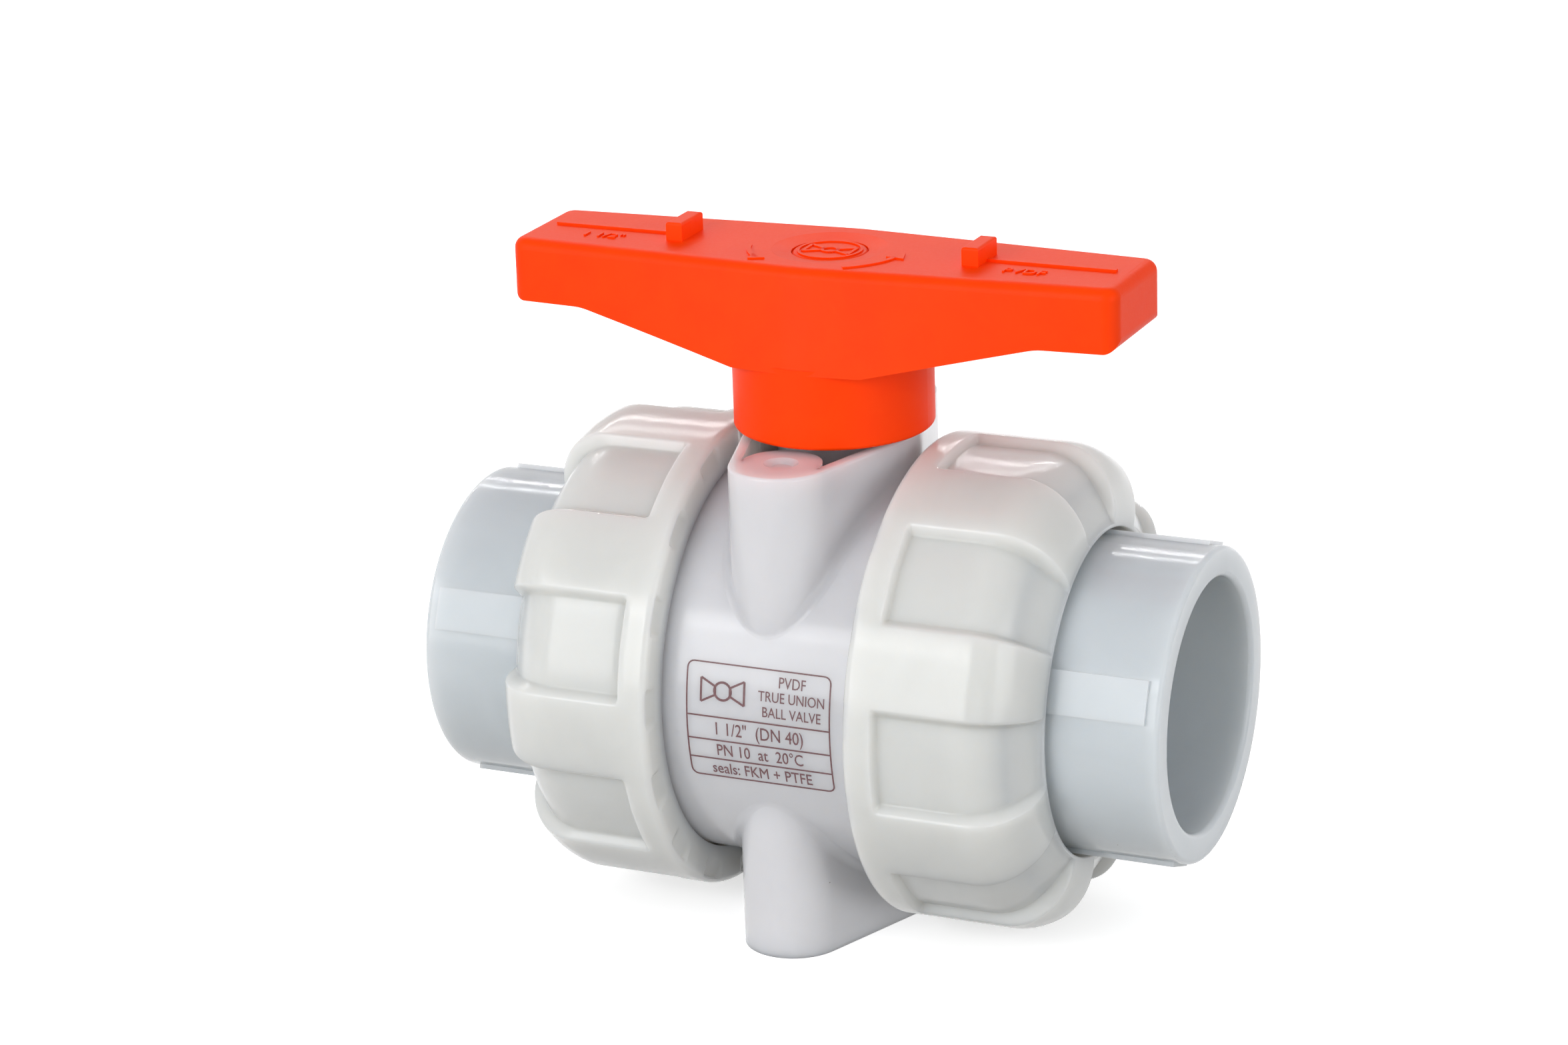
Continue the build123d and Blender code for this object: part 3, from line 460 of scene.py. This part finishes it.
def dome(flat_end, flat_r, end_x, end_r, steps):
    """Points of a nut's domed end: an arc of 11 mm through 50 degrees, then a tangent arc."""
    first_r, turn = 11.0, math.radians(50)
    points = [(flat_end + first_r * math.sin(turn * i / steps),
               flat_r - first_r * (1 - math.cos(turn * i / steps))) for i in range(steps + 1)]
    start_x, start_r = points[-1]
    inward = (-math.sin(turn), -math.cos(turn))
    chord = (end_x - start_x, end_r - start_r)
    last_r = (chord[0] ** 2 + chord[1] ** 2) / (2 * (chord[0] * inward[0] + chord[1] * inward[1]))
    centre = (start_x + last_r * inward[0], start_r + last_r * inward[1])
    a0 = math.atan2(start_r - centre[1], start_x - centre[0])
    a1 = math.atan2(end_r - centre[1], end_x - centre[0])
    points += [(centre[0] + last_r * math.cos(a0 + (a1 - a0) * i / steps),
                centre[1] + last_r * math.sin(a0 + (a1 - a0) * i / steps))
               for i in range(1, steps + 1)]
    return points


def spread(start, end, steps):
    """Evenly spaced numbers, the start left out."""
    return [start + (end - start) * i / steps for i in range(1, steps + 1)]


face_rows = [(nut_face, r) for r in [rim_bore_r, 39.9] + spread(39.9, 44.7, 12)]
corner_rows = [(nut_face + rim_round * (1 - math.cos(math.radians(a))),
                rim_r - rim_round + rim_round * math.sin(math.radians(a)))
               for a in spread(0, 90, 8)]
rim_rows = [(x, rim_r) for x in spread(21.3, recess_start, 3)]
step_xs = spread(recess_start, recess_full, 8)
lobe_rows = ([(x, rim_r) for x in step_xs]
             + [(x, rim_r) for x in spread(recess_full, lobe_flat_end, 8)]
             + dome(lobe_flat_end, rim_r, nut_mouth, hole_r + ring_width, 9)[1:])
floor_rows = ([(x, rim_r - (rim_r - floor_r) * soft_step((x - recess_start) / 1.1))
               for x in step_xs]
              + [(x, floor_r) for x in spread(recess_full, floor_flat_end, 8)]
              + dome(floor_flat_end, floor_r, floor_end_x, hole_r + ring_width, 9)[1:])
ring_rows = [(53.86, 32.05), (53.93, 31.7), (nut_mouth, 31.45), (hole_edge_x, hole_r)]
hole_rows = [(x, hole_r) for x in spread(hole_edge_x, shoulder_x, 4)]
pocket_rows = [(shoulder_x, r) for r in spread(hole_r, bore_r, 3)]
thread_rows = []
for ridge in (38.0, 34.0, 30.0, 26.0):
    thread_rows += [(ridge + thread_base_half, bore_r), (ridge + thread_tip_half, thread_root_r),
                    (ridge - thread_tip_half, thread_root_r), (ridge - thread_base_half, bore_r)]
bore_rows = ([(bore_start, bore_r)] + thread_rows
             + [(rim_bore_end, bore_r), (rim_bore_end, rim_bore_r)])
lobe_section = face_rows + corner_rows + rim_rows + lobe_rows + ring_rows
floor_section = face_rows + corner_rows + rim_rows + floor_rows + ring_rows
inner_section = hole_rows + pocket_rows + bore_rows


def nut_sector(name, side):
    """One lobe with half a recess on each side, about the flow axis, in metres."""
    points = []
    even_count = round(2 * sector_half / column_step) + 1
    even = [-sector_half + column_step * i for i in range(even_count)]
    walls = [edge + wall_step * i for edge in (-lobe_half, lobe_half) for i in range(-5, 6)]
    angles = sorted({round(angle, 2) for angle in even + walls})
    for angle in angles:
        lobe_share = 1 - soft_step((abs(angle) - lobe_half + wall_half) / (2 * wall_half))
        near_notch = min(abs(angle - middle) for middle in notch_middles)
        in_notch = 1 - soft_step((near_notch - notch_half + 0.6) / 1.2)
        section = []
        for (lobe_x, lobe_r), (floor_x, row_r) in zip(lobe_section, floor_section):
            x = floor_x + (lobe_x - floor_x) * lobe_share
            r = row_r + (lobe_r - row_r) * lobe_share
            if x < nut_face + 0.5:
                wedge = min(max((r - notch_in) / (notch_out - notch_in), 0), 1)
                x += notch_deep * wedge * soft_step((notch_out + 0.25 - r) / 0.5) * in_notch
            section.append((x, r))
        turn = math.radians(angle)
        points += [(side * x * mm, -r * mm * math.cos(turn), r * mm * math.sin(turn))
                   for x, r in section + inner_section]
    rows = len(lobe_section) + len(inner_section)
    faces = []
    for column in range(len(angles) - 1):
        for row in range(rows):
            a, b = column * rows + row, column * rows + (row + 1) % rows
            quad = (a, b, b + rows, a + rows)
            faces.append(quad if side > 0 else quad[::-1])
    mesh = bpy.data.meshes.new(name)
    mesh.from_pydata(points, [], faces)
    return mesh


def ring_of_lobes():
    """Node group that turns copies of one sector into a whole nut."""
    group = bpy.data.node_groups.new("ring of lobes", "GeometryNodeTree")
    for socket, kind, way in (("Sector", "Geometry", "INPUT"), ("Lobes", "Int", "INPUT"),
                              ("First lobe angle", "Float", "INPUT"),
                              ("Axis height", "Float", "INPUT"),
                              ("Plastic", "Material", "INPUT"), ("Nut", "Geometry", "OUTPUT")):
        group.interface.new_socket(socket, in_out=way, socket_type="NodeSocket" + kind)
    given = add(group, "NodeGroupInput").outputs
    centre = add(group, "ShaderNodeCombineXYZ", {"Z": given["Axis height"]})
    seats = add(group, "GeometryNodePoints", {"Count": given["Lobes"],
                                              "Position": centre.outputs["Vector"]})
    pitch = add(group, "ShaderNodeMath", {0: 2 * math.pi, 1: given["Lobes"]},
                operation="DIVIDE")
    count = add(group, "GeometryNodeInputIndex")
    angle = add(group, "ShaderNodeMath", {0: count.outputs["Index"], 1: pitch.outputs[0],
                                          2: given["First lobe angle"]},
                operation="MULTIPLY_ADD")
    turned_back = add(group, "ShaderNodeMath", {0: angle.outputs[0], 1: -1.0},
                      operation="MULTIPLY")
    turn = add(group, "ShaderNodeCombineXYZ", {"X": turned_back.outputs[0]})
    lobes = add(group, "GeometryNodeInstanceOnPoints", {
        "Points": seats.outputs[0], "Instance": given["Sector"],
        "Rotation": turn.outputs["Vector"]})
    whole = add(group, "GeometryNodeRealizeInstances", {"Geometry": lobes.outputs[0]})
    sealed = add(group, "GeometryNodeMergeByDistance", {"Geometry": whole.outputs[0],
                                                        "Distance": 0.002 * mm})
    smooth = add(group, "GeometryNodeSetShadeSmooth", {"Geometry": sealed.outputs[0]})
    plastic = add(group, "GeometryNodeSetMaterial", {"Geometry": smooth.outputs[0],
                                                     "Material": given["Plastic"]})
    add(group, "NodeGroupOutput", {"Nut": plastic.outputs[0]})
    return group


def grown(name, mesh, group, values):
    """Runs a node group on a mesh with named values and returns the result as a plain piece."""
    seed = bpy.data.objects.new(name + "_seed", mesh)
    scene.collection.objects.link(seed)
    modifier = seed.modifiers.new("build", "NODES")
    modifier.node_group = group
    for socket in group.interface.items_tree:
        if socket.in_out == "INPUT" and socket.name in values:
            modifier[socket.identifier] = values[socket.name]
    bpy.context.view_layer.update()
    shape = bpy.data.meshes.new_from_object(seed.evaluated_get(
        bpy.context.evaluated_depsgraph_get()))
    shape.name = name
    seed.modifiers.remove(modifier)
    bpy.data.objects.remove(seed)
    piece = bpy.data.objects.new(name, shape)
    scene.collection.objects.link(piece)
    return piece


# The nuts are a shade warmer than the connectors, whose white leans to blue.
nut_pvdf = moulded_pvdf("moulded natural PVDF, nuts", "#cecfcc", "#d7d8d5", 0.17)
lobe_ring = ring_of_lobes()
for side_name, side, first_lobe in (("outlet", 1, 21.0), ("inlet", -1, -5.0)):
    nut = grown(side_name + "_nut_shell", nut_sector(side_name + "_lobe", side), lobe_ring,
                {"Lobes": lobe_count, "First lobe angle": math.radians(first_lobe),
                 "Axis height": axis_height, "Plastic": nut_pvdf})
    nut.data.set_sharp_from_angle(angle=math.radians(50))
    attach(nut, side_name + "_nut")
    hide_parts(side_name + "_union_nut")

# ---- handle ---------------------------------------------------------------------------
# A two-winged lever in bright orange moulded plastic, hollow below. The two keys on top
# fit the seat carrier, so that the handle doubles as its spanner.
# Strong, even pigment with a fine satin grain, so that it hardly mirrors the room.
handle_orange, tree = new_material("moulded orange plastic")
where = add(tree, "ShaderNodeTexCoord").outputs["Object"]
pigment = add(tree, "ShaderNodeTexNoise", {"Vector": where, "Scale": 1 / (9 * mm),
                                           "Detail": 4.0, "Distortion": 0.5})
grain = add(tree, "ShaderNodeTexNoise", {"Vector": where, "Scale": 1 / (0.7 * mm),
                                         "Detail": 2.0})
orange = add(tree, "ShaderNodeMix", {"Factor": pigment.outputs["Fac"], "A": linear("#fb3a00"),
                                     "B": linear("#ff4400")}, data_type="RGBA")
surface = add(tree, "ShaderNodeBump", {"Height": grain.outputs["Fac"], "Strength": 0.5,
                                       "Distance": 0.02 * mm})
shine = add(tree, "ShaderNodeMapRange", {"Value": grain.outputs["Fac"], "To Min": 0.38,
                                         "To Max": 0.5})
skin = add(tree, "ShaderNodeBsdfPrincipled", {
    "Base Color": orange.outputs["Result"], "Normal": surface.outputs["Normal"],
    "Roughness": shine.outputs["Result"], "IOR": 1.3, "Subsurface Weight": 0.12,
    "Specular IOR Level": 0.18,
    "Subsurface Radius": (2.5, 0.8, 0.3), "Subsurface Scale": mm})
add(tree, "ShaderNodeOutputMaterial", {"Surface": skin.outputs[0]})
finish_node("handle", handle_orange)

# ---- raised marks on the handle -------------------------------------------------------
# Moulded with the handle: two curved arrows beside the hub for open and shut, the nominal
# size on one wing and the plastic's short name on the other.
cap_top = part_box("handle_cap")[1][2] / mm
handle_top = cap_top + 0.6      # the cap sits in a shallow dish
mark_stand, mark_bite, mark_line = 0.35, 0.2, 0.9
mark_r = 15.2
right_arrowhead = [(16.7, -4.4), (13.0, -3.9), (15.6, -0.7)]
left_arrowhead = [(-11.6, -9.0), (-8.3, -11.3), (-11.2, -12.6)]


def flat_at(top):
    """Place function for marks on a level face at a height in mm."""
    return lambda x, y, rise: (x * mm, y * mm, (top + rise) * mm)


marks = strip(arc(0, 0, mark_r, -58, -14, 12), mark_line)
marks.append(right_arrowhead)
marks += strip(arc(0, 0, mark_r, -166, -131, 10), mark_line)
marks.append(left_arrowhead)
mark_shapes = quad_shapes(marks)
mark_shapes.append(letters("1 1/2\"", 3.6, -44.5, -5.6))
mark_shapes.append(letters("PVDF", 3.6, 41.0, -5.6))
mark_piece = raised_piece("handle_marks", mark_shapes, -mark_bite, mark_stand,
                          flat_at(handle_top), handle_orange)
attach(mark_piece, "stem_and_handle")

# ---- cap, screw and washer ------------------------------------------------------------
# A snap-in orange cap, embossed with a valve symbol, hides the stainless screw and washer
# that hold the handle on the stem.
finish_node("handle_cap", handle_orange)
emblem = strip(arc(0, 0, 6.0, 0, 360, 48), 0.5) + strip(arc(0, 0, 1.5, 0, 360, 24), 0.6)
for side in (-1, 1):
    wing = [(side * 4.6, 2.4), (side * 4.6, -2.4), (side * 1.5, -0.7), (side * 1.5, 0.7)]
    emblem += strip(wing + wing[:1], 0.6)
emblem_piece = raised_piece("cap_emblem", quad_shapes(emblem), -0.1, 0.3, flat_at(cap_top),
                            handle_orange)
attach(emblem_piece, "stem_and_handle")

# Bright but not mirror-like: fine turning scratches spread its highlights.
stainless, tree = new_material("turned stainless steel")
scratch = add(tree, "ShaderNodeTexNoise", {
    "Vector": add(tree, "ShaderNodeTexCoord").outputs["Object"], "Scale": 1 / (0.4 * mm),
    "Detail": 3.0})
shine = add(tree, "ShaderNodeMapRange", {"Value": scratch.outputs["Fac"], "To Min": 0.22,
                                         "To Max": 0.36})
tone = add(tree, "ShaderNodeMix", {"Factor": scratch.outputs["Fac"], "A": linear("#b9bab8"),
                                   "B": linear("#d2d3d0")}, data_type="RGBA")
skin = add(tree, "ShaderNodeBsdfPrincipled", {
    "Base Color": tone.outputs["Result"], "Metallic": 1.0,
    "Roughness": shine.outputs["Result"]})
add(tree, "ShaderNodeOutputMaterial", {"Surface": skin.outputs[0]})
for name in ("handle_screw", "handle_washer"):
    finish_node(name, stainless)
